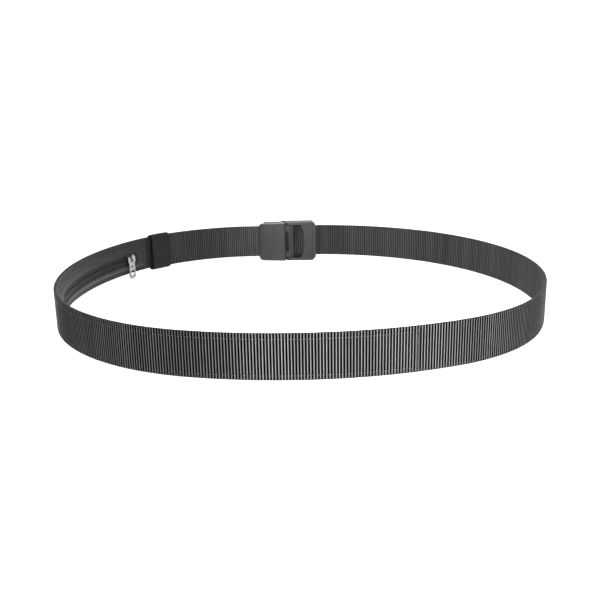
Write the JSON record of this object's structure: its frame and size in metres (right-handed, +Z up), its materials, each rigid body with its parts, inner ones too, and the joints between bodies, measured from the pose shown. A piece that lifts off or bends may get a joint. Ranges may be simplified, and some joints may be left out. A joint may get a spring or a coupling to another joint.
{
  "type": "money belt",
  "caption": "Webbing travel belt with a cam-lever buckle, sliding keeper and a zipped money pocket sewn along the inside, standing closed as a loop.",
  "frame": {"origin": "middle of the closed loop, on the surface that the belt stands on", "axes": "+Z up across the webbing's width, +X to the right along the buckle's stretch, buckle at the back in +Y"},
  "size_m": [0.376, 0.348, 0.039],
  "materials": {
    "webbing": "ribbed woven polyester webbing, dark grey",
    "pocket_cloth": "fine plain-weave pack cloth, dark grey",
    "zip_tape": "smooth woven zip tape, near black",
    "zip_coil": "nylon coil, near black",
    "zip_metal": "nickel-plated die-cast zinc",
    "keeper_elastic": "smooth woven elastic, dark grey",
    "thread": "bonded polyester sewing thread, near black",
    "buckle_plastic": "moulded acetal, fine matt texture, dark grey",
    "pin_steel": "plain steel pin"
  },
  "bodies": {
    "belt": {"anchor_box_stitch": "thread", "belt_webbing": "webbing", "buckle_frame": "buckle_plastic", "buckle_hinge_pin": "pin_steel", "pocket_bartacks": "thread", "pocket_panel": "pocket_cloth", "pocket_seam_lower": "thread", "pocket_seam_upper": "thread", "zip_bottom_stop": "zip_metal", "zip_coil_lower": "zip_coil", "zip_coil_upper": "zip_coil", "zip_tape_lower": "zip_tape", "zip_tape_upper": "zip_tape", "zip_top_stops": "zip_metal"},
    "lever": {"buckle_lever": "buckle_plastic"},
    "slider": {"zip_slider": "zip_metal"},
    "puller": {"zip_puller": "zip_metal"},
    "keeper": {"belt_keeper": "keeper_elastic"}
  },
  "joints": [
    {"name": "lever_hinge", "type": "hinge", "parent": "belt", "child": "lever", "pos_m": [-0.00658, 0.16718, 0.0195], "axis": [0, 0, 1], "range_deg": [0, 105]},
    {"name": "zip_travel", "type": "hinge", "parent": "belt", "child": "slider", "pos_m": [0.02414, -0.0019, 0.0195], "axis": [0, 0, 1], "range_deg": [0, 38]},
    {"name": "puller_swing", "type": "hinge", "parent": "slider", "child": "puller", "pos_m": [-0.15487, 0.09809, 0.0211], "axis": [-0.4877, -0.873, 0], "range_deg": [0, 165]},
    {"name": "keeper_travel", "type": "hinge", "parent": "belt", "child": "keeper", "pos_m": [-0.04358, 0.03878, 0.0195], "axis": [0, 0, -1], "range_deg": [0, 38.4]}
  ]
}
